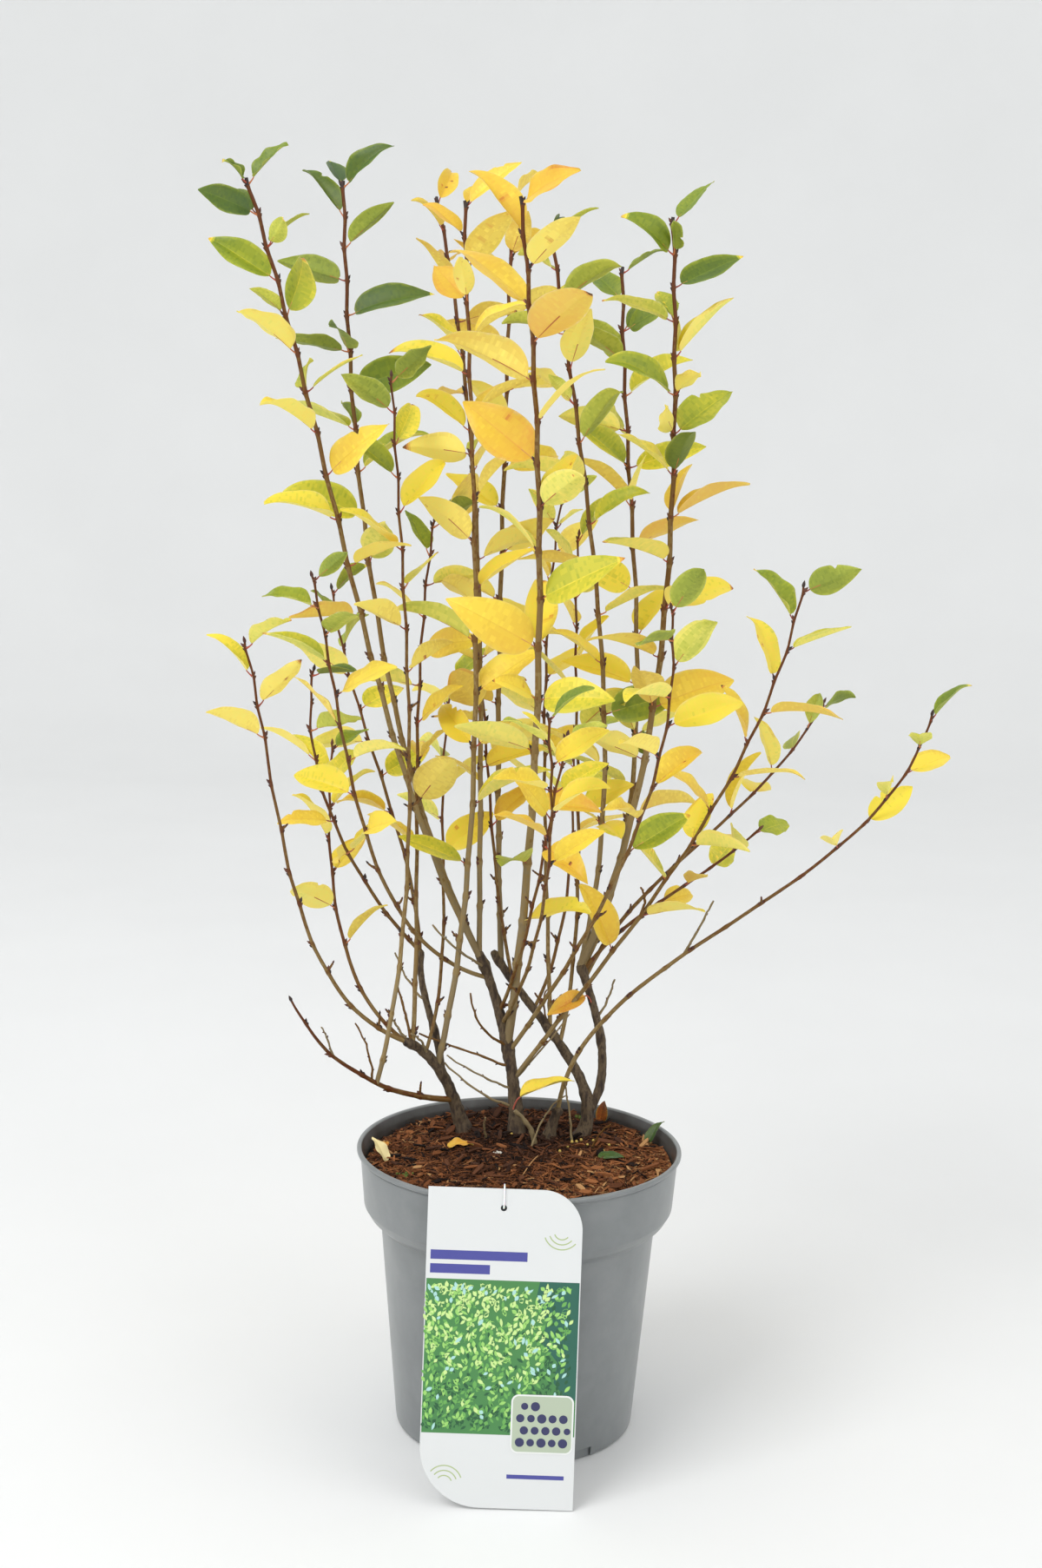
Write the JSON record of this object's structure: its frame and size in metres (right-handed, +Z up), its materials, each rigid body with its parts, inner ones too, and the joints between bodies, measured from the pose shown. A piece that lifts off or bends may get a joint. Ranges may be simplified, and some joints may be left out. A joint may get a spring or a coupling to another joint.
{
  "type": "potted hedge cotoneaster",
  "caption": "Young many-stemmed deciduous hedge shrub in autumn colour, upright clipped shoots with yellow and green leaves, in a round grey nursery pot with a plain plant label.",
  "frame": {"origin": "centre of the pot's flat underside, on the floor", "axes": "+Z up along the pot's axis, -Y towards the front with the label, +X to the right seen from the front"},
  "size_m": [0.465, 0.4059, 0.8032],
  "materials": {
    "pot_plastic": "satin, moulded",
    "compost": "moist fibrous peat and bark",
    "label_card": "satin printed card",
    "label_tie": "milky",
    "old_bark": "rough, cracked",
    "young_bark": "satin with pale pores",
    "leaf": "satin, veined"
  },
  "bodies": {
    "root": {"bough_back_right": "young_bark", "bough_far_left": "young_bark", "bough_far_right": "young_bark", "bough_front_right": "young_bark", "bough_left_back": "young_bark", "bough_left_front": "young_bark", "bough_left_inner": "young_bark", "bough_left_mid": "young_bark", "bough_low_left": "young_bark", "bough_outer_right": "young_bark", "bough_tall_back": "young_bark", "bough_tall_back_left": "young_bark", "bough_tall_centre": "young_bark", "bough_tall_front": "young_bark", "bough_tall_left": "young_bark", "bough_tall_left_back": "young_bark", "bough_tall_mid_right": "young_bark", "bough_tall_right": "young_bark", "bough_tall_right_back": "young_bark", "label": "label_card", "label_tie": "label_tie", "leaves_back_centre": "leaf", "leaves_back_low": "leaf", "leaves_back_right": "leaf", "leaves_far_left": "leaf", "leaves_far_right": "leaf", "leaves_front_inner": "leaf", "leaves_front_low": "leaf", "leaves_front_right": "leaf", "leaves_inner_back_left": "leaf", "leaves_inner_left": "leaf", "leaves_inner_right": "leaf", "leaves_left_back": "leaf", "leaves_left_front": "leaf", "leaves_left_inner": "leaf", "leaves_left_low_front": "leaf", "leaves_left_mid": "leaf", "leaves_low_left": "leaf", "leaves_low_right": "leaf", "leaves_outer_right": "leaf", "leaves_tall_back": "leaf", "leaves_tall_back_left": "leaf", "leaves_tall_centre": "leaf", "leaves_tall_front": "leaf", "leaves_tall_left": "leaf", "leaves_tall_left_back": "leaf", "leaves_tall_mid_right": "leaf", "leaves_tall_right": "leaf", "leaves_tall_right_back": "leaf", "left_post": "old_bark", "low_branch": "old_bark", "pot": "pot_plastic", "soil": "compost", "trunk_cross": "old_bark", "trunk_left": "old_bark", "trunk_middle": "old_bark", "trunk_right": "old_bark", "trunk_short": "old_bark"}
  },
  "joints": []
}
